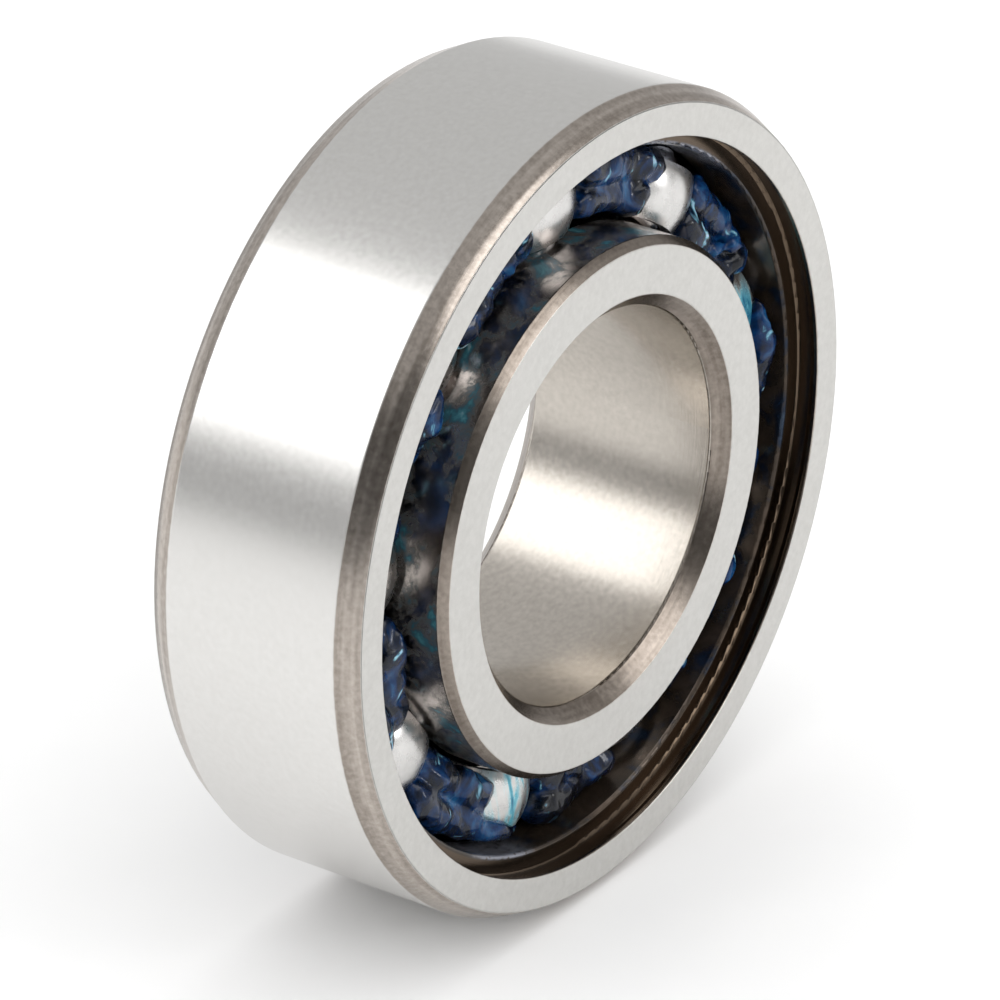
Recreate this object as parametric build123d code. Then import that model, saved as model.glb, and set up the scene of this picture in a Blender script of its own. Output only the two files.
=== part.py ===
"""Deep groove ball bearing, one side open and one side sealed.

Millimetres. The origin is the centre of the bearing and +Y is its axis: the open side
faces -Y, the sealed side +Y, and +Z is up, so that the bearing stands on its rim.
Angles round the bearing are counted from +Z towards +X.
"""
from build123d import *
from math import sqrt
import os

# Boundary sizes: ISO 15 dimension series 02, 25 mm shaft.
BORE_RADIUS = 12.5
OUTSIDE_RADIUS = 26.0
WIDTH = 15.0
HALF_WIDTH = WIDTH / 2

# Balls and raceways.
BALL_COUNT = 9
BALL_RADIUS = 7.938 / 2
PITCH_RADIUS = 19.25
RACEWAY_GAP = 0.02
RACEWAY_RADIUS = 1.03 * BALL_RADIUS
FIRST_BALL_ANGLE = -3.0
BALL_PITCH_ANGLE = 360 / BALL_COUNT

# Outer ring.
OUTER_LAND_RADIUS = 22.15
OUTER_CHAMFER = (0.75, 1.5)         # radial, axial
SEAL_MOUTH_RADIUS = 23.1
SEAL_MOUTH_DEPTH = 0.35
SEAL_GROOVE_RADIUS = 23.45
SEAL_SHELF_DEPTH = 1.75

# Inner ring.
INNER_LAND_RADIUS = 16.95
BORE_CHAMFER = (0.95, 1.0)
INNER_CHAMFER = (0.5, 0.6)

# Rounding of the rings' corners.
SEAT_ROUND = 0.3
FACE_ROUND = 0.12
GROOVE_ROUND = 0.22

# Cage: two pressed ribbons, riveted together between the balls.
RIBBON_THICKNESS = 0.65
RIBBON_INNER_RADIUS = 17.4
RIBBON_OUTER_RADIUS = 21.2
POCKET_GAP = 0.06
POCKET_RADIUS = BALL_RADIUS + POCKET_GAP
RIVET_RADIUS = 0.6
RIVET_HEAD_RADIUS = 1.05
RIVET_HEAD_HEIGHT = 0.45
RIVET_PITCH_RADIUS = (RIBBON_INNER_RADIUS + RIBBON_OUTER_RADIUS) / 2

# Seal on the +Y side: rubber moulded on a steel washer.
SEAL_LIP_GAP = 0.06
SEAL_FACE_DEPTH = 0.5
SEAL_BEAD_CLEARANCE = 0.04
SEAL_PANEL_RADII = (18.9, 22.0)     # of the sunken panel between the seal's two rims
SEAL_PANEL_DEPTH = 0.16
SEAL_PANEL_SLOPE = 0.2
SEAL_LIP_WIDTH = 0.8
SEAL_LIP_DROP = 0.22
INSERT_THICKNESS = 0.3
INSERT_INNER_RADIUS = 17.9
INSERT_OUTER_RADIUS = 22.5
INSERT_FACE_DEPTH = 1.1
INSERT_FLANGE = 0.3

# Grease: one mass in front of and one behind each riveted flat of the cage.
GREASE_INNER_RADIUS = 17.7
GREASE_OUTER_RADIUS = 21.4
GREASE_NEAR = RIBBON_THICKNESS + RIVET_HEAD_HEIGHT + 0.05
GREASE_FAR = 4.2
GREASE_POCKET_GAP = 0.08


def turned(outline):
    """Solid of revolution about Y from a closed outline in the XY plane, X being the radius."""
    return revolve(make_face(outline), Axis.Y)


def band(inner_radius, outer_radius, low, high):
    """Plain ring about Y."""
    corners = [(inner_radius, low), (outer_radius, low), (outer_radius, high), (inner_radius, high)]
    return turned(Polyline(*corners, close=True))


def ring(raceway_bottom, raceway_centre, land_radius, corners):
    """Bearing ring, the same on both sides.

    corners runs from the seat surface round the -Y face to the start of the land. Each is
    a point and the radius that its corner is rounded to.
    """
    raceway_edge = sqrt(RACEWAY_RADIUS**2 - (land_radius - raceway_centre) ** 2)
    front = [*[point for point, _ in corners], (land_radius, -raceway_edge)]
    rear = [(radius, -along) for radius, along in reversed(front)]
    raceway = ThreePointArc(front[-1], (raceway_bottom, 0), rear[0])
    outline = make_face(Polyline(*front) + raceway + Polyline(*rear) + Line(rear[-1], front[0]))
    for (radius, along), rounding in corners:
        for side in (along, -along):
            corner = outline.vertices().sort_by_distance((radius, side))[0]
            outline = fillet(corner, rounding)
    return revolve(outline, Axis.Y)


def outer_ring():
    raceway_bottom = PITCH_RADIUS + BALL_RADIUS + RACEWAY_GAP
    radial, axial = OUTER_CHAMFER
    shelf = SEAL_SHELF_DEPTH - HALF_WIDTH
    mouth = SEAL_MOUTH_DEPTH - HALF_WIDTH
    undercut = SEAL_GROOVE_RADIUS - SEAL_MOUTH_RADIUS
    corners = [
        ((OUTSIDE_RADIUS, axial - HALF_WIDTH), SEAT_ROUND),
        ((OUTSIDE_RADIUS - radial, -HALF_WIDTH), FACE_ROUND),
        ((SEAL_MOUTH_RADIUS, -HALF_WIDTH), FACE_ROUND),
        ((SEAL_MOUTH_RADIUS, mouth), FACE_ROUND),
        ((SEAL_GROOVE_RADIUS, mouth + undercut), GROOVE_ROUND),
        ((SEAL_GROOVE_RADIUS, shelf), GROOVE_ROUND),
        ((OUTER_LAND_RADIUS, shelf), GROOVE_ROUND),
    ]
    return ring(raceway_bottom, raceway_bottom - RACEWAY_RADIUS, OUTER_LAND_RADIUS, corners)


def inner_ring():
    raceway_bottom = PITCH_RADIUS - BALL_RADIUS - RACEWAY_GAP
    bore_radial, bore_axial = BORE_CHAMFER
    land_radial, land_axial = INNER_CHAMFER
    corners = [
        ((BORE_RADIUS, bore_axial - HALF_WIDTH), SEAT_ROUND),
        ((BORE_RADIUS + bore_radial, -HALF_WIDTH), FACE_ROUND),
        ((INNER_LAND_RADIUS - land_radial, -HALF_WIDTH), FACE_ROUND),
        ((INNER_LAND_RADIUS, land_axial - HALF_WIDTH), FACE_ROUND),
    ]
    return ring(raceway_bottom, raceway_bottom + RACEWAY_RADIUS, INNER_LAND_RADIUS, corners)


def ball_angles():
    return [FIRST_BALL_ANGLE + BALL_PITCH_ANGLE * index for index in range(BALL_COUNT)]


def gap_angles():
    return [angle + BALL_PITCH_ANGLE / 2 for angle in ball_angles()]


def at_angle(angle, radius):
    """Place on a circle about Y, turned to face outwards."""
    return Rot(0, angle, 0) * Pos(0, 0, radius)


def spheres_at_balls(radius):
    return [at_angle(angle, PITCH_RADIUS) * Sphere(radius) for angle in ball_angles()]


def rivet():
    """Rivet along Y, its domed heads resting on both ribbons."""
    head = RIBBON_THICKNESS + RIVET_HEAD_HEIGHT
    rim = (RIVET_HEAD_RADIUS, RIBBON_THICKNESS)
    shank = [rim, (RIVET_RADIUS, RIBBON_THICKNESS), (RIVET_RADIUS, -RIBBON_THICKNESS), (rim[0], -rim[1])]
    upper_dome = TangentArc((0, head), shank[0], tangent=(1, 0))
    lower_dome = TangentArc((0, -head), shank[-1], tangent=(1, 0))
    return turned(upper_dome + Polyline(*shank) + lower_dome + Line((0, -head), (0, head)))


def cage_half():
    """The -Y ribbon: flats between the balls, spherical pockets round them."""
    ribbon = band(RIBBON_INNER_RADIUS, RIBBON_OUTER_RADIUS, -RIBBON_THICKNESS, 0)
    half_space = band(RIBBON_INNER_RADIUS, RIBBON_OUTER_RADIUS, -HALF_WIDTH, 0)
    domes = [half_space & sphere for sphere in spheres_at_balls(POCKET_RADIUS + RIBBON_THICKNESS)]
    rivet_hole = Rot(90, 0, 0) * Cylinder(RIVET_RADIUS, WIDTH)
    holes = [at_angle(angle, RIVET_PITCH_RADIUS) * rivet_hole for angle in gap_angles()]
    return ribbon + domes - spheres_at_balls(POCKET_RADIUS) - holes


def seal_rubber():
    face = HALF_WIDTH - SEAL_FACE_DEPTH
    shelf = HALF_WIDTH - SEAL_SHELF_DEPTH
    insert_face = HALF_WIDTH - INSERT_FACE_DEPTH
    insert_back = insert_face - INSERT_THICKNESS
    lip = INNER_LAND_RADIUS + SEAL_LIP_GAP
    bead = SEAL_GROOVE_RADIUS - SEAL_BEAD_CLEARANCE
    cover_outer = SEAL_MOUTH_RADIUS - SEAL_BEAD_CLEARANCE
    panel_inner, panel_outer = SEAL_PANEL_RADII
    panel = face - SEAL_PANEL_DEPTH
    outline = [
        (lip, insert_back),
        (INSERT_INNER_RADIUS, insert_back),
        (INSERT_INNER_RADIUS, insert_face),
        (INSERT_OUTER_RADIUS, insert_face),
        (INSERT_OUTER_RADIUS, shelf),
        (bead - GROOVE_ROUND, shelf),
        (bead, shelf + GROOVE_ROUND),
        (bead, face - (bead - cover_outer)),
        (cover_outer, face),
        (panel_outer + SEAL_PANEL_SLOPE, face),
        (panel_outer, panel),
        (panel_inner, panel),
        (panel_inner - SEAL_PANEL_SLOPE, face),
        (lip + SEAL_LIP_WIDTH, face),
        (lip + SEAL_LIP_WIDTH / 2, face - SEAL_LIP_DROP),
        (lip, face - 2 * SEAL_LIP_DROP),
    ]
    return turned(Polyline(*outline, close=True))


def seal_insert():
    """Steel washer with its outer edge turned in towards the balls."""
    face = HALF_WIDTH - INSERT_FACE_DEPTH
    back = face - INSERT_THICKNESS
    flange_inner = INSERT_OUTER_RADIUS - INSERT_THICKNESS
    outline = [
        (INSERT_INNER_RADIUS, back),
        (flange_inner, back),
        (flange_inner, back - INSERT_FLANGE),
        (INSERT_OUTER_RADIUS, back - INSERT_FLANGE),
        (INSERT_OUTER_RADIUS, face),
        (INSERT_INNER_RADIUS, face),
    ]
    return turned(Polyline(*outline, close=True))


def grease_mass(angle):
    """The -Y mass in the gap at an angle, clear of the ribbon's pockets."""
    ring_of_grease = band(GREASE_INNER_RADIUS, GREASE_OUTER_RADIUS, -GREASE_FAR, -GREASE_NEAR)
    gap = at_angle(angle, PITCH_RADIUS) * Box(PITCH_RADIUS / 2, WIDTH, PITCH_RADIUS / 2)
    pocket = POCKET_RADIUS + RIBBON_THICKNESS + GREASE_POCKET_GAP
    return (ring_of_grease & gap) - spheres_at_balls(pocket)


def write(node, solid):
    export_step(solid, f"parts/{node}.step")


def main():
    os.makedirs("parts", exist_ok=True)
    write("outer_ring", outer_ring())
    write("inner_ring", inner_ring())
    write("seal_rubber", seal_rubber())
    write("seal_insert", seal_insert())
    front_ribbon = cage_half()
    write("cage_front", front_ribbon)
    write("cage_rear", mirror(front_ribbon, Plane.XZ))
    for number, angle in enumerate(ball_angles(), start=1):
        write(f"ball_{number}", at_angle(angle, PITCH_RADIUS) * Sphere(BALL_RADIUS))
    for number, angle in enumerate(gap_angles(), start=1):
        write(f"rivet_{number}", at_angle(angle, RIVET_PITCH_RADIUS) * rivet())
        front_grease = grease_mass(angle)
        write(f"grease_front_{number}", front_grease)
        write(f"grease_rear_{number}", mirror(front_grease, Plane.XZ))


main()
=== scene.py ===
"""Looks of a deep groove ball bearing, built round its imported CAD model. Metres, +Y along the axis."""
from math import atan2, cos, pi, radians, sin
import random
import bpy
from mathutils import Matrix, Vector


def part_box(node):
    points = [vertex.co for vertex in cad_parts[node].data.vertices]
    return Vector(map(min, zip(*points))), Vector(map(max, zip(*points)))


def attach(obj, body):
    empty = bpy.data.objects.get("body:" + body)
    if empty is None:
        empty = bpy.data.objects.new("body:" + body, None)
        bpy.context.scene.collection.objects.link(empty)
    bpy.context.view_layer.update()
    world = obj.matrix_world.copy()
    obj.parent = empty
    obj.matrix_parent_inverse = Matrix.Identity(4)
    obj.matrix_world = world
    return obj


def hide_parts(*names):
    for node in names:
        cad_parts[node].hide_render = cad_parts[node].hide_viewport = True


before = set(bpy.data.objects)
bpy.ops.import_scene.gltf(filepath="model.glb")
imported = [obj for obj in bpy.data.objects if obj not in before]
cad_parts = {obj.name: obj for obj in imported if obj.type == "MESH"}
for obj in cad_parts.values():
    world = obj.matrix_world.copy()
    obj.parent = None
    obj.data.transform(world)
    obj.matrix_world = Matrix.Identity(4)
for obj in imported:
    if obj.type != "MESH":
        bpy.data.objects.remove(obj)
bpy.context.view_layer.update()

MM = 0.001


def centre_of(node):
    """Middle of a node's box in the frame."""
    low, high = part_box(node)
    return (low + high) / 2


def ring_place(degrees_round, radius, along):
    """Place at an angle round from the top, a radius and a distance along the axis, in millimetres."""
    turn = radians(degrees_round)
    return Vector((radius * sin(turn), along, radius * cos(turn))) * MM


# Sizes read from the frame.
OUTSIDE_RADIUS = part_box("outer_ring")[1].x
HALF_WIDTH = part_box("outer_ring")[1].y
CROWN_HEIGHT = -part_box("cage_front")[0].y
PITCH_RADIUS = Vector((centre_of("ball_1").x, 0, centre_of("ball_1").z)).length

# Where one surface of a ring gives way to the next: radii, and depths below the nearer end face.
BORE_RADIUS = 12.5 * MM
BORE_BEVEL_RADIUS = 14 * MM
INNER_WALL_RADII = (15 * MM, 18 * MM)
INNER_WALL_DEPTH = 0.62 * MM
INNER_BEVEL_RADII = (16.3 * MM, 17.2 * MM)
INNER_BEVEL_DEPTH = 0.66 * MM
OUTER_WALL_RADII = (20 * MM, 23.6 * MM)
OUTER_WALL_DEPTH = 0.12 * MM
DEEP_WALL_RADIUS = 22.4 * MM
UNDER_FACE = 0.05 * MM

# A place this near a ground surface counts as on it.
SKIN = 0.03 * MM

# How softly one surface's look fades into the next.
CRISP = 0.025 * MM
SOFT = 0.05 * MM
BROAD = 0.1 * MM

# The outside bevel is rounded over into the face: from this radius out, this deep and this high.
ROUNDED_RADIUS = 25.2 * MM
ROUNDED_DEPTH = 0.9 * MM
ROUNDED_HEIGHT = 0.18 * MM

# Where the grease is only a film: crowns of the cage, by the ball under them, and places on the outer wall,
# whose pale grey-violet smear is partly painted light.
FILMED_CROWNS = ("ball_3", "ball_6")
SMEAR_AND_LIGHT_PLACES = (ring_place(203, 22.15, -4.6), ring_place(22, 22.15, -5.0), ring_place(32, 22.15, -4.6))


# Small helpers for node materials.
def new_material(name):
    made = bpy.data.materials.new(name)
    made.use_nodes = True
    return made, made.node_tree, made.node_tree.nodes["Principled BSDF"]


def feed(tree, value, socket):
    """Link a node's output to a socket, or set the socket to a plain number or colour."""
    if hasattr(value, "links"):
        tree.links.new(value, socket)
    elif isinstance(value, tuple):
        socket.default_value = (*value, 1)
    else:
        socket.default_value = value


def math_node(tree, operation, *values):
    node = tree.nodes.new("ShaderNodeMath")
    node.operation = operation
    for socket, value in zip(node.inputs, values):
        feed(tree, value, socket)
    return node.outputs[0]


def ramp(tree, factor, *stops):
    """Colour ramp; each stop is (position, colour)."""
    node = tree.nodes.new("ShaderNodeValToRGB")
    tree.links.new(factor, node.inputs["Fac"])
    elements = node.color_ramp.elements
    while len(elements) < len(stops):
        elements.new(0.5)
    for element, (position, colour) in zip(elements, stops):
        element.position = position
        element.color = (*colour, 1)
    return node.outputs["Color"]


# The Mix node has sockets for every kind of value; these are the places of its colour sockets.
MIX_FIRST, MIX_SECOND, MIX_RESULT = 6, 7, 2


def mix_colour(tree, factor, first, second):
    node = tree.nodes.new("ShaderNodeMix")
    node.data_type = "RGBA"
    tree.links.new(factor, node.inputs["Factor"])
    feed(tree, first, node.inputs[MIX_FIRST])
    feed(tree, second, node.inputs[MIX_SECOND])
    return node.outputs[MIX_RESULT]


def object_coordinates(tree):
    return tree.nodes.new("ShaderNodeTexCoord").outputs["Object"]


def lathe_coordinates(tree):
    """Radius, distance along Y and angle round Y, from Object coordinates."""
    split = tree.nodes.new("ShaderNodeSeparateXYZ")
    tree.links.new(object_coordinates(tree), split.inputs[0])
    x, y, z = split.outputs
    flat = math_node(tree, "ADD", math_node(tree, "MULTIPLY", x, x), math_node(tree, "MULTIPLY", z, z))
    return math_node(tree, "SQRT", flat), y, math_node(tree, "ARCTAN2", x, z)


def combine(tree, *values):
    node = tree.nodes.new("ShaderNodeCombineXYZ")
    for socket, value in zip(node.inputs, values):
        tree.links.new(value, socket)
    return node.outputs[0]


def noise(tree, vector, scale, detail=3.0, roughness=0.55, distortion=0.0):
    node = tree.nodes.new("ShaderNodeTexNoise")
    node.inputs["Scale"].default_value = scale
    node.inputs["Detail"].default_value = detail
    node.inputs["Roughness"].default_value = roughness
    node.inputs["Distortion"].default_value = distortion
    tree.links.new(vector, node.inputs["Vector"])
    return node.outputs["Fac"]


def object_place(tree, scale=(1, 1, 1), rotation=(0, 0, 0)):
    """Object coordinates, turned and stretched."""
    mapping = tree.nodes.new("ShaderNodeMapping")
    mapping.inputs["Rotation"].default_value = rotation
    mapping.inputs["Scale"].default_value = scale
    tree.links.new(object_coordinates(tree), mapping.inputs["Vector"])
    return mapping.outputs[0]


def bump(tree, shader, height, distance, strength=1.0):
    node = tree.nodes.new("ShaderNodeBump")
    node.inputs["Distance"].default_value = distance
    node.inputs["Strength"].default_value = strength
    tree.links.new(height, node.inputs["Height"])
    tree.links.new(node.outputs[0], shader.inputs["Normal"])
    return node


def above(tree, value, limit, soft):
    """0 below a limit and 1 above it, over a soft edge."""
    node = tree.nodes.new("ShaderNodeMapRange")
    node.interpolation_type = "SMOOTHSTEP"
    node.inputs["From Min"].default_value = limit - soft
    node.inputs["From Max"].default_value = limit + soft
    tree.links.new(value, node.inputs["Value"])
    return node.outputs["Result"]


def below(tree, value, limit, soft):
    return math_node(tree, "SUBTRACT", 1, above(tree, value, limit, soft))


def both(tree, *masks):
    product = masks[0]
    for mask in masks[1:]:
        product = math_node(tree, "MULTIPLY", product, mask)
    return product


def between(tree, value, limits, soft):
    low, high = limits
    return both(tree, above(tree, value, low, soft), below(tree, value, high, soft))


def either(tree, *masks):
    largest = masks[0]
    for mask in masks[1:]:
        largest = math_node(tree, "MAXIMUM", largest, mask)
    return largest


def near(tree, place, reach, soft):
    """1 within reach of a place on the object."""
    away = tree.nodes.new("ShaderNodeVectorMath")
    away.operation = "DISTANCE"
    away.inputs[1].default_value = place
    tree.links.new(object_coordinates(tree), away.inputs[0])
    return below(tree, away.outputs["Value"], reach, soft)


def ring_steel():
    """Ground seats and faces, unground brown bevels, and walls between the rings painted near-black: partly
    oil film and partly painted shade.
    """
    made, tree, shader = new_material("ring_steel")
    shader.inputs["Metallic"].default_value = 1
    shader.inputs["Anisotropic"].default_value = 0.4
    radius, along, angle = lathe_coordinates(tree)
    depth = math_node(tree, "SUBTRACT", HALF_WIDTH, math_node(tree, "ABSOLUTE", along))
    grain = combine(tree, radius, along, math_node(tree, "MULTIPLY", angle, 0.0006))
    lines = noise(tree, grain, 9000, detail=4)
    broad = noise(tree, grain, 1400, detail=3)
    mottle = noise(tree, object_place(tree), 2600, detail=4)
    smear = noise(tree, object_place(tree), 420, detail=5, roughness=0.62, distortion=0.35)
    under_face = above(tree, depth, UNDER_FACE, SKIN)
    face = below(tree, depth, SKIN, SKIN)
    seat = above(tree, radius, OUTSIDE_RADIUS - SKIN, CRISP)
    bore = below(tree, radius, BORE_RADIUS + SKIN, CRISP)
    bore_bevel = both(tree, below(tree, radius, BORE_BEVEL_RADIUS, BROAD), under_face)
    inner_bevel = both(
        tree,
        between(tree, radius, INNER_BEVEL_RADII, SOFT),
        below(tree, depth, INNER_BEVEL_DEPTH, SOFT),
        under_face,
    )
    inner_wall = both(
        tree,
        between(tree, radius, INNER_WALL_RADII, BROAD),
        above(tree, depth, INNER_WALL_DEPTH, 0.08 * MM),
    )
    outer_wall = both(
        tree,
        above(tree, radius, OUTER_WALL_RADII[0], BROAD),
        below(tree, radius, OUTER_WALL_RADII[1], SOFT),
        above(tree, depth, OUTER_WALL_DEPTH, SOFT),
    )
    deep_wall = both(tree, outer_wall, below(tree, radius, DEEP_WALL_RADIUS, BROAD))
    ground = ramp(tree, mottle, (0.3, (0.67, 0.66, 0.64)), (0.7, (0.71, 0.70, 0.682)))
    lapped = ramp(tree, mottle, (0.3, (0.56, 0.552, 0.53)), (0.7, (0.62, 0.612, 0.59)))
    bore_ground = ramp(tree, mottle, (0.3, (0.49, 0.455, 0.41)), (0.7, (0.58, 0.54, 0.49)))
    rough_turned = math_node(
        tree,
        "ADD",
        math_node(tree, "MULTIPLY", broad, 0.6),
        math_node(tree, "MULTIPLY", mottle, 0.4),
    )
    bevel = ramp(tree, rough_turned, (0.36, (0.27, 0.235, 0.205)), (0.64, (0.5, 0.45, 0.405)))
    land_bevel = ramp(tree, rough_turned, (0.36, (0.15, 0.125, 0.105)), (0.64, (0.31, 0.27, 0.235)))
    # Walls between the rings: brown-black, partly oily turned steel and partly painted shade of the recess
    # between the rings.
    dark_oil_and_shade = ramp(tree, broad, (0.3, (0.07, 0.05, 0.034)), (0.75, (0.14, 0.105, 0.076)))
    oily = ramp(tree, smear, (0.38, (0.62, 0.56, 0.53)), (0.54, (0.3, 0.28, 0.26)))
    # Grease film on the inner wall: navy and teal film, its pale lavender top partly a painted reflection
    # of the bright surroundings.
    film_and_reflection = ramp(
        tree,
        smear,
        (0.52, (0.012, 0.025, 0.035)),
        (0.6, (0.02, 0.07, 0.1)),
        (0.68, (0.06, 0.2, 0.24)),
        (0.76, (0.3, 0.4, 0.43)),
    )
    # Deep wall: navy grease film over steel painted near-black as the shade deep in the groove.
    wall_film_and_shade = ramp(
        tree,
        smear,
        (0.36, (0.07, 0.05, 0.036)),
        (0.52, (0.04, 0.03, 0.022)),
        (0.62, (0.008, 0.016, 0.034)),
        (0.72, (0.03, 0.05, 0.08)),
    )
    filmed = both(tree, inner_wall, above(tree, smear, 0.55, 0.09))
    # Grey-violet grease smear on the deep wall, lightened as painted light where the wall lies in shade.
    smear_and_light = both(
        tree,
        deep_wall,
        either(tree, *(near(tree, place, reach=3.2 * MM, soft=1.4 * MM) for place in SMEAR_AND_LIGHT_PLACES)),
        above(tree, mottle, 0.42, 0.05),
    )
    colour = mix_colour(tree, seat, bevel, ground)
    colour = mix_colour(tree, face, colour, lapped)
    colour = mix_colour(tree, bore_bevel, colour, land_bevel)
    colour = mix_colour(tree, inner_bevel, colour, land_bevel)
    colour = mix_colour(tree, bore, colour, bore_ground)
    # Painted shade on the walls between the rings, then grease film over painted shade on the deep wall.
    colour = mix_colour(tree, outer_wall, colour, dark_oil_and_shade)
    colour = mix_colour(tree, deep_wall, colour, wall_film_and_shade)
    # Painted light: the smear's pale grey-violet stands in for light on a shaded wall.
    colour = mix_colour(tree, smear_and_light, colour, (0.24, 0.25, 0.29))
    colour = mix_colour(tree, inner_wall, colour, oily)
    colour = mix_colour(tree, filmed, colour, film_and_reflection)
    tree.links.new(colour, shader.inputs["Base Color"])
    covered = either(
        tree,
        math_node(tree, "MULTIPLY", filmed, 0.85),
        math_node(tree, "MULTIPLY", deep_wall, 0.4),
    )
    tree.links.new(math_node(tree, "SUBTRACT", 1, covered), shader.inputs["Metallic"])
    rough = math_node(tree, "MULTIPLY_ADD", mottle, 0.06, 0.21)
    matt = math_node(tree, "MULTIPLY", face, 0.2)
    tree.links.new(math_node(tree, "ADD", rough, matt), shader.inputs["Roughness"])
    tangent = tree.nodes.new("ShaderNodeTangent")
    tangent.direction_type = "RADIAL"
    tangent.axis = "Y"
    tree.links.new(tangent.outputs[0], shader.inputs["Tangent"])
    lines_bump = bump(tree, shader, lines, 0.004 * MM, 0.6)
    # The outside bevel leans over into the face instead of meeting it at a hard corner.
    outside = above(tree, radius, ROUNDED_RADIUS, SOFT)
    share = math_node(tree, "DIVIDE", depth, ROUNDED_DEPTH)
    lean = math_node(tree, "MAXIMUM", math_node(tree, "SUBTRACT", 1, share), 0)
    dip = math_node(tree, "MULTIPLY", math_node(tree, "MULTIPLY", lean, lean), -1)
    rounding = tree.nodes.new("ShaderNodeBump")
    rounding.inputs["Distance"].default_value = ROUNDED_HEIGHT
    tree.links.new(math_node(tree, "MULTIPLY", dip, outside), rounding.inputs["Height"])
    tree.links.new(rounding.outputs["Normal"], lines_bump.inputs["Normal"])
    return made


def plain_steel(name, colour, roughness):
    """Steel of one colour, a little darker in places."""
    made, tree, shader = new_material(name)
    shader.inputs["Metallic"].default_value = 1
    place = object_place(tree)
    mottle = noise(tree, place, 1400, detail=5)
    low = tuple(0.86 * part for part in colour)
    tree.links.new(ramp(tree, mottle, (0.3, low), (0.7, colour)), shader.inputs["Base Color"])
    rough = math_node(tree, "MULTIPLY_ADD", mottle, 0.12, roughness - 0.06)
    tree.links.new(rough, shader.inputs["Roughness"])
    bump(tree, shader, noise(tree, place, 6000, detail=3), 0.003 * MM, 0.5)
    return made


def cage_steel():
    """Bright pressed strip, with a thin film of grease wiped over two of its front crowns."""
    made = plain_steel("cage_steel", (0.68, 0.67, 0.655), 0.28)
    tree = made.node_tree
    shader = tree.nodes["Principled BSDF"]
    bare = shader.inputs["Base Color"].links[0].from_socket
    crowns = []
    for ball in FILMED_CROWNS:
        middle = centre_of(ball)
        top = (middle.x, -CROWN_HEIGHT, middle.z)
        crowns.append(near(tree, top, reach=2.6 * MM, soft=1.2 * MM))
    strokes = object_place(tree, (1, 0.4, 0.25), (0, 0.5, 0))
    wipe = noise(tree, strokes, 1000, detail=3, distortion=0.4)
    film = both(tree, either(tree, *crowns), above(tree, wipe, 0.5, 0.08))
    tint = ramp(
        tree,
        wipe,
        (0.46, (0.5, 0.78, 0.82)),
        (0.56, (0.14, 0.5, 0.62)),
        (0.66, (0.02, 0.16, 0.28)),
    )
    tree.links.new(mix_colour(tree, film, bare, tint), shader.inputs["Base Color"])
    tree.links.new(
        math_node(tree, "SUBTRACT", 1, math_node(tree, "MULTIPLY", film, 0.75)),
        shader.inputs["Metallic"],
    )
    return made


def seal_rubber():
    """Matt black rubber."""
    made, tree, shader = new_material("seal_rubber")
    place = object_place(tree)
    mottle = noise(tree, place, 700, detail=6)
    tree.links.new(
        ramp(tree, mottle, (0.3, (0.016, 0.016, 0.017)), (0.75, (0.036, 0.036, 0.038))),
        shader.inputs["Base Color"],
    )
    rough = math_node(tree, "MULTIPLY_ADD", mottle, 0.2, 0.45)
    tree.links.new(rough, shader.inputs["Roughness"])
    bump(tree, shader, noise(tree, place, 9000, detail=3), 0.006 * MM, 0.5)
    return made


def grease():
    """Stiff blue grease: deep navy in the mass, with pale cyan and lavender streaks, partly milky where it
    has been dragged thin and partly painted highlight.
    """
    made, tree, shader = new_material("blue_grease")
    shader.inputs["IOR"].default_value = 1.5
    shader.inputs["Coat Weight"].default_value = 0.15
    shader.inputs["Coat Roughness"].default_value = 0.05
    shader.inputs["Specular IOR Level"].default_value = 0.25
    shader.inputs["Subsurface Weight"].default_value = 0.3
    shader.inputs["Subsurface Radius"].default_value = (0.1, 0.4, 1.0)
    shader.inputs["Subsurface Scale"].default_value = 0.5 * MM
    place = object_place(tree)
    cloud = noise(tree, place, 330, detail=4, distortion=1.2)
    deep = ramp(
        tree,
        cloud,
        (0.38, (0.0004, 0.002, 0.006)),
        (0.48, (0.0006, 0.007, 0.027)),
        (0.58, (0.0015, 0.027, 0.105)),
        (0.7, (0.012, 0.1, 0.24)),
    )
    # Pale streaks: partly milky thin grease, partly painted highlight standing in for glints.
    drag = noise(tree, object_place(tree, (1, 0.4, 0.6)), 620, detail=4, roughness=0.5, distortion=1.8)
    thin_and_highlight = ramp(
        tree,
        drag,
        (0.58, (0.03, 0.2, 0.42)),
        (0.66, (0.22, 0.55, 0.7)),
        (0.76, (0.55, 0.6, 0.75)),
    )
    streaks_and_highlights = above(tree, drag, 0.66, 0.04)
    tree.links.new(mix_colour(tree, streaks_and_highlights, deep, thin_and_highlight), shader.inputs["Base Color"])
    rough = math_node(tree, "MULTIPLY_ADD", drag, 0.3, 0.1)
    tree.links.new(rough, shader.inputs["Roughness"])
    bump(tree, shader, noise(tree, place, 1400, detail=3, distortion=1.0), 0.05 * MM, 0.5)
    return made


def white_floor():
    made, tree, shader = new_material("white_floor")
    shader.inputs["Roughness"].default_value = 0.7
    shader.inputs["Specular IOR Level"].default_value = 0.2
    mottle = noise(tree, object_place(tree), 60)
    white = ramp(tree, mottle, (0.3, (0.9, 0.9, 0.9)), (0.7, (0.92, 0.92, 0.92)))
    tree.links.new(white, shader.inputs["Base Color"])
    return made


def paint(material, *names):
    for name in names:
        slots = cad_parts[name].data.materials
        slots.clear()
        slots.append(material)


def numbered(prefix):
    return sorted(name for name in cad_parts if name.startswith(prefix))


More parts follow.
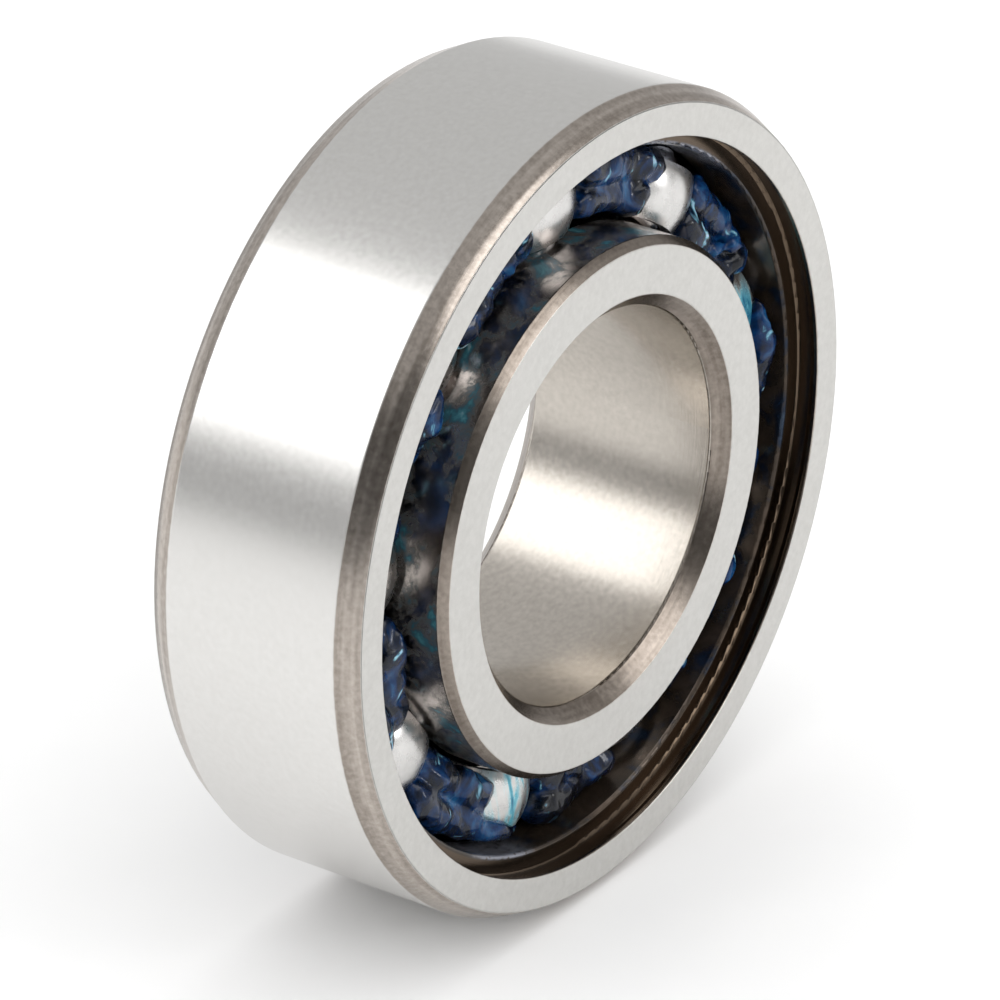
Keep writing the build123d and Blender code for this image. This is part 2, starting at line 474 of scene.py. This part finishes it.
paint(ring_steel(), "outer_ring", "inner_ring")
paint(plain_steel("ball_steel", (0.82, 0.82, 0.82), 0.08), *numbered("ball_"))
paint(cage_steel(), "cage_front", "cage_rear")
paint(plain_steel("rivet_steel", (0.6, 0.59, 0.57), 0.3), *numbered("rivet_"))
paint(plain_steel("insert_steel", (0.6, 0.59, 0.57), 0.3), "seal_insert")
paint(seal_rubber(), "seal_rubber")
grease_material = grease()


# Grease: lumps of several blobs, melted into one skin and roughened.
LUMP_HEIGHT = 1.5 * MM
LUMP_FACETS = 350
SMOOTH_BEFORE, SMOOTH_AFTER = 8, 16
FRONT_VOXEL, REAR_VOXEL = 0.12 * MM, 0.17 * MM


def lump_texture():
    texture = bpy.data.textures.new("grease_lumps", "CLOUDS")
    texture.noise_basis = "ORIGINAL_PERLIN"
    texture.noise_scale = 2.6 * MM
    texture.noise_depth = 2
    return texture


LUMPS = lump_texture()


def apply_modifier(obj, kind, **settings):
    modifier = obj.modifiers.new(kind.lower(), kind)
    for name, value in settings.items():
        setattr(modifier, name, value)
    bpy.context.view_layer.objects.active = obj
    bpy.ops.object.modifier_apply(modifier=modifier.name)


def add_blob(angle, radius, along, size, lean=0.0):
    """Ellipsoid at a place in the gap between the rings; size is round, along and out from the axis."""
    place = Vector((radius * sin(angle), along, radius * cos(angle)))
    bpy.ops.mesh.primitive_uv_sphere_add(
        segments=24, ring_count=16, radius=1, location=place, rotation=(0, angle, lean), scale=size
    )
    return bpy.context.object


def melt(name, blobs, voxel):
    """One grease piece from overlapping blobs: melted, lumped, cut to broad facets and smoothed."""
    bpy.ops.object.select_all(action="DESELECT")
    for blob in blobs:
        blob.select_set(True)
    bpy.context.view_layer.objects.active = blobs[0]
    bpy.ops.object.join()
    bpy.ops.object.transform_apply(location=True, rotation=True, scale=True)
    piece = bpy.context.object
    piece.name = name
    apply_modifier(piece, "REMESH", mode="VOXEL", voxel_size=voxel)
    apply_modifier(piece, "SMOOTH", factor=0.5, iterations=SMOOTH_BEFORE)
    apply_modifier(piece, "DISPLACE", texture=LUMPS, strength=LUMP_HEIGHT, mid_level=0.5)
    apply_modifier(piece, "DECIMATE", ratio=LUMP_FACETS / (2 * len(piece.data.polygons)))
    apply_modifier(piece, "REMESH", mode="VOXEL", voxel_size=voxel)
    apply_modifier(piece, "SMOOTH", factor=0.5, iterations=SMOOTH_AFTER)
    bpy.ops.object.shade_smooth()
    piece.data.materials.clear()
    piece.data.materials.append(grease_material)
    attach(piece, "cage")
    return piece


# The filling of a gap: steps out to both crowns, each with a blob at two radii, and small gobs on top.
# The height is from the middle plane, in millimetres, and it rises a little towards the crowns.
STEPS_EACH_WAY = 3
FILLING_RADII = (18.6 * MM, 20.62 * MM)
FILLING_DEGREES = 9.2
FILLING_HEIGHT = 3.35
RISE_AT_CROWNS = 0.35
SMALL_GOBS = 4

# Gobs that stand out of the ordinary filling in front of a rivet, in degrees and millimetres:
# the angle from the rivet, the radius, the height and the size.
EXTRA_GOBS = {
    3: ((-14, 20.85, 4.5, (2.8, 1.2, 1.05)),),
    4: ((-12, 21.0, 4.4, (1.4, 0.8, 0.95)),),
    6: ((-16, 21.1, 3.9, (3.2, 1.0, 0.6)), (-9, 21.05, 3.6, (2.0, 1.1, 0.7))),
    7: ((6, 18.4, 4.6, (1.4, 0.8, 1.2)),),
    8: ((12, 18.3, 4.6, (1.6, 0.9, 1.1)),),
}


def gap_lump(number, side):
    """The grease on one riveted flat and up both crowns; side is -1 in front of the cage, 1 behind it."""
    place = centre_of(f"rivet_{number}")
    angle = atan2(place.x, place.z)
    dice = random.Random(17 * number + side)
    blobs = []
    for step in range(-STEPS_EACH_WAY, STEPS_EACH_WAY + 1):
        across = step / STEPS_EACH_WAY
        for radius in FILLING_RADII:
            turn = angle + across * radians(FILLING_DEGREES + dice.uniform(-1.5, 1.5))
            along = side * (FILLING_HEIGHT + RISE_AT_CROWNS * abs(across) + dice.uniform(-0.25, 0.25)) * MM
            size = (dice.uniform(1.4, 1.8) * MM, dice.uniform(1.0, 1.25) * MM, dice.uniform(1.15, 1.3) * MM)
            blobs.append(add_blob(turn, radius, along, size, dice.uniform(-0.3, 0.3)))
    for _ in range(SMALL_GOBS):
        turn = angle + dice.uniform(-0.17, 0.17)
        radius = PITCH_RADIUS + dice.uniform(-1.0, 1.6) * MM
        along = side * dice.uniform(4.0, 4.5) * MM
        size = (dice.uniform(0.35, 0.6) * MM, dice.uniform(0.5, 0.7) * MM, dice.uniform(0.7, 1.1) * MM)
        blobs.append(add_blob(turn, radius, along, size, dice.uniform(-0.9, 0.9)))
    if side < 0:
        for spread, radius, along, size in EXTRA_GOBS.get(number, ()):
            size = [part * MM for part in size]
            blobs.append(add_blob(angle + radians(spread), radius * MM, -along * MM, size))
    where, voxel = ("front", FRONT_VOXEL) if side < 0 else ("rear", REAR_VOXEL)
    piece = melt(f"grease_lump_{where}_{number}", blobs, voxel)
    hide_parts(f"grease_{where}_{number}")


bpy.ops.object.select_all(action="DESELECT")
for number in range(1, len(numbered("rivet_")) + 1):
    gap_lump(number, -1)
    gap_lump(number, 1)


# Studio: floor, light and camera.
def stage_floor():
    bpy.ops.object.select_all(action="DESELECT")
    bpy.ops.mesh.primitive_plane_add(size=6, location=(0, 0, -OUTSIDE_RADIUS))
    floor = bpy.context.object
    floor.name = "floor"
    floor.data.materials.append(white_floor())


def facing(place, back, along):
    """Placement at a place, with Z pointing back and X as near to along as it can be."""
    z = back.normalized()
    x = (along - along.dot(z) * z).normalized()
    return Matrix.Translation(place) @ Matrix((x, z.cross(x), z)).transposed().to_4x4()


def softbox(name, direction, along, distance, size, radiance):
    """Area light that faces the object from a direction, seen with a given radiance."""
    light = bpy.data.lights.new(name, "AREA")
    light.shape = "RECTANGLE"
    light.size, light.size_y = size
    light.energy = radiance * pi * size[0] * size[1]
    holder = bpy.data.objects.new(name, light)
    bpy.context.scene.collection.objects.link(holder)
    toward = Vector(direction).normalized()
    holder.matrix_world = facing(toward * distance, toward, Vector(along))
    return holder


def dark_card(name, direction, along, distance, size, shade):
    """Grey card, which only reflections show."""
    bpy.ops.object.select_all(action="DESELECT")
    bpy.ops.mesh.primitive_plane_add(size=1, location=(0, 0, 0))
    card = bpy.context.object
    card.name = name
    toward = Vector(direction).normalized()
    card.matrix_world = facing(toward * distance, toward, Vector(along)) @ Matrix.Diagonal((*size, 1, 1))
    made, _, shader = new_material(name)
    shader.inputs["Base Color"].default_value = (shade, shade, shade, 1)
    shader.inputs["Roughness"].default_value = 1
    card.data.materials.append(made)
    card.visible_camera = card.visible_diffuse = card.visible_shadow = card.visible_transmission = False


def studio_world():
    """Pale grey surroundings, with a white backdrop where the camera sees past the floor."""
    world = bpy.data.worlds.new("studio")
    bpy.context.scene.world = world
    world.use_nodes = True
    tree = world.node_tree
    background = tree.nodes["Background"]
    path = tree.nodes.new("ShaderNodeLightPath")
    shade = mix_colour(tree, path.outputs["Is Camera Ray"], (0.66, 0.66, 0.66), (1, 1, 1))
    tree.links.new(shade, background.inputs["Color"])


def front_camera():
    """Camera with a long lens, to the left of the open side and above it."""
    azimuth, height = radians(-54.88), radians(27.32)
    back = Vector((sin(azimuth) * cos(height), -cos(azimuth) * cos(height), sin(height)))
    target = Vector((-1.04, -0.24, -1.0)) * MM
    distance = 0.4375
    level = Vector((0, 0, 1)).cross(back)
    lens = bpy.data.cameras.new("camera")
    lens.sensor_width = 36
    lens.lens = 260.4
    lens.clip_start = 0.01
    holder = bpy.data.objects.new("camera", lens)
    bpy.context.scene.collection.objects.link(holder)
    holder.matrix_world = facing(target + distance * back, back, level)
    bpy.context.scene.camera = holder


stage_floor()
studio_world()
key = softbox(
    "key_softbox",
    direction=(-0.588, 0.511, 0.627),
    along=(-0.73, 0, -0.684),
    distance=0.5,
    size=(0.36, 0.36),
    radiance=1.9,
)
key.visible_diffuse = False
softbox(
    "front_softbox",
    direction=(0.319, -0.924, 0.24),
    along=(1, 0, 0),
    distance=0.5,
    size=(0.07, 0.07),
    radiance=15,
)
front_top = softbox(
    "front_top_softbox",
    direction=(0.12, -0.7, 0.7),
    along=(1, 0, 0),
    distance=0.6,
    size=(0.46, 0.25),
    radiance=2.6,
)
front_top.visible_diffuse = False
overhead = softbox(
    "overhead",
    direction=(-0.12, -0.2, 0.95),
    along=(1, 0, 0),
    distance=0.9,
    size=(2.4, 2.4),
    radiance=0.95,
)
overhead.visible_glossy = False
dark_card(
    "dark_card",
    direction=(-0.68, -0.68, 0.26),
    along=(1, -1, 0),
    distance=0.65,
    size=(0.72, 0.62),
    shade=0.12,
)
dark_card(
    "dark_strip",
    direction=(-0.849, 0.511, 0.134),
    along=(0, 1, 0),
    distance=0.42,
    size=(0.6, 0.11),
    shade=0.32,
)
front_camera()
bpy.context.scene.view_settings.view_transform = "Standard"
